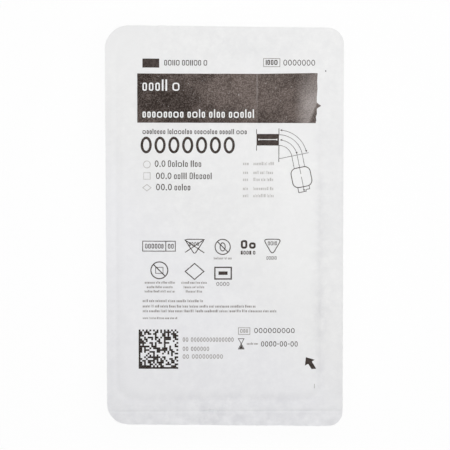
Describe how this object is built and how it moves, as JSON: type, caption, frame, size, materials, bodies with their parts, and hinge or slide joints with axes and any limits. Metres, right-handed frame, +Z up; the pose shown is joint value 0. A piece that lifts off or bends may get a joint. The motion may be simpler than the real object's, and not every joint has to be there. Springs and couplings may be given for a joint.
{
  "type": "sealed sterile peel pack",
  "caption": "Sealed sterile peel pack: a deep thermoformed tray closed by a heat-sealed printed lid sheet with a peel tab, its ward disposable out of sight.",
  "frame": {"origin": "on the surface that the tray stands on, below the middle of the lid's outline", "axes": "+Z up through the lid, +Y towards the head edge of the label, -Y towards the peel tab, +X to the right as the label reads"},
  "size_m": [0.11, 0.186, 0.045],
  "materials": {
    "tray": "satin",
    "lid_sheet": "matte",
    "label_ink": "matte"
  },
  "bodies": {
    "root": {"sealed_pack": "tray"}
  },
  "joints": []
}
